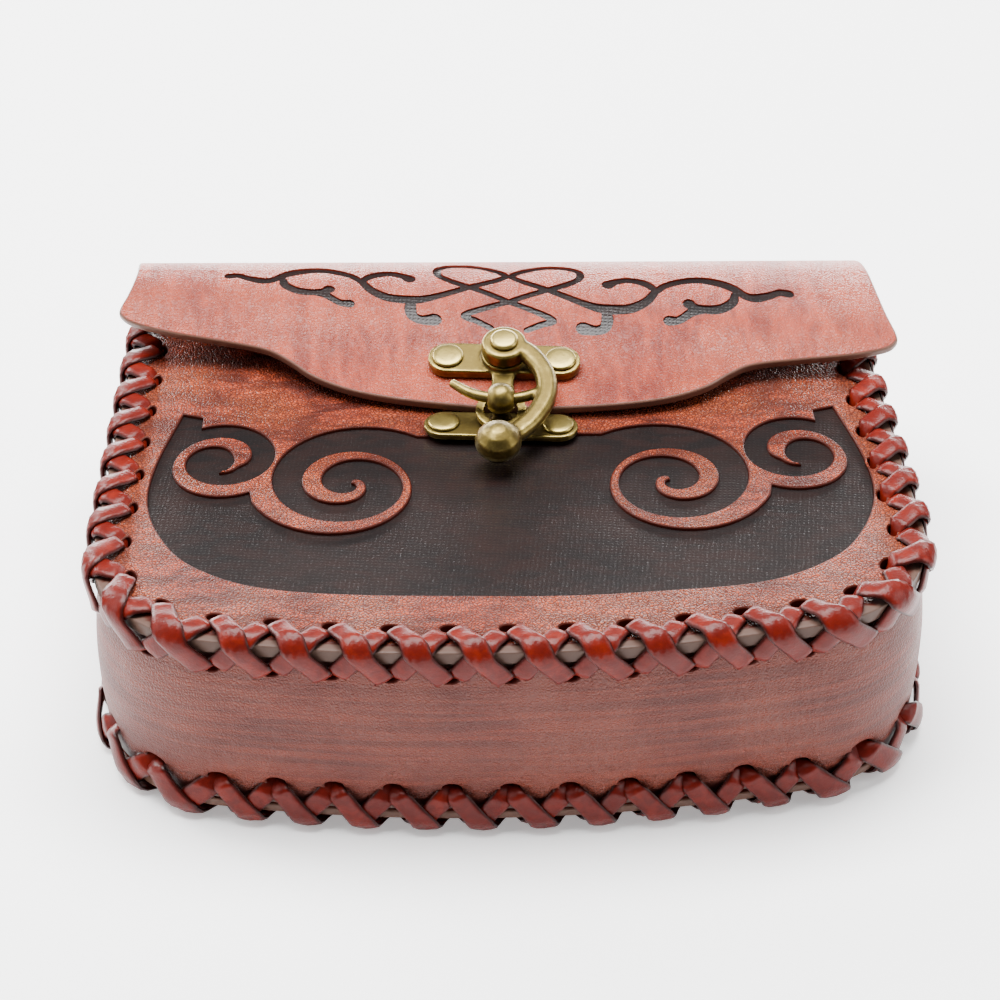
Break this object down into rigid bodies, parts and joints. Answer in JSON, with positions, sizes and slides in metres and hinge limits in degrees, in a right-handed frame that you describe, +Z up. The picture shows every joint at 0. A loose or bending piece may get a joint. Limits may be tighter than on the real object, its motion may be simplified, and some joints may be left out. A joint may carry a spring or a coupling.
{
  "type": "medieval belt pouch",
  "caption": "Laced leather belt pouch with a fold-over flap, a metal swing clasp, a dark scroll inlay and plain belt loops, lying on its back.",
  "frame": {"origin": "bottom centre of the bounding box, on the surface that the pouch lies on", "axes": "+X across the pouch to the picture's right, +Y from the rounded bottom to the fold, +Z up from the back panel to the clasp"},
  "size_m": [0.18, 0.1404, 0.0636],
  "materials": {
    "pouch_leather": "glazed reddish brown leather, fine grain, streaky burnish",
    "gusset_leather": "satin brown leather with lengthwise streaks",
    "dark_leather": "near-black brown leather with a fine pebbled weave grain",
    "lace": "glossy mahogany red flat lace with darker edges",
    "strap_leather": "plain brown strap leather",
    "antique_brass": "antique brass, olive yellow on the high spots, dark brown in the recesses"
  },
  "bodies": {
    "pouch": {"back_and_flap": "pouch_leather", "front_panel": "pouch_leather", "front_inlay": "dark_leather", "gusset": "gusset_leather", "lacing_front": "lace", "lacing_back": "lace", "upper_plate": "antique_brass", "upper_rivet_left": "antique_brass", "upper_rivet_right": "antique_brass", "pivot_rivet": "antique_brass", "lower_plate": "antique_brass", "lower_rivet_left": "antique_brass", "lower_rivet_right": "antique_brass", "belt_loop_left": "strap_leather", "loop_rivet_left_low": "antique_brass", "loop_rivet_left_high": "antique_brass", "belt_loop_right": "strap_leather", "loop_rivet_right_low": "antique_brass", "loop_rivet_right_high": "antique_brass"},
    "swing_arm": {"swing_arm": "antique_brass"}
  },
  "joints": [
    {"name": "clasp_swing", "type": "hinge", "parent": "pouch", "child": "swing_arm", "pos_m": [0.0009, 0.02517, 0.05458], "axis": [-0.0065, -0.1953, 0.9807], "range_deg": [0, 90]}
  ]
}
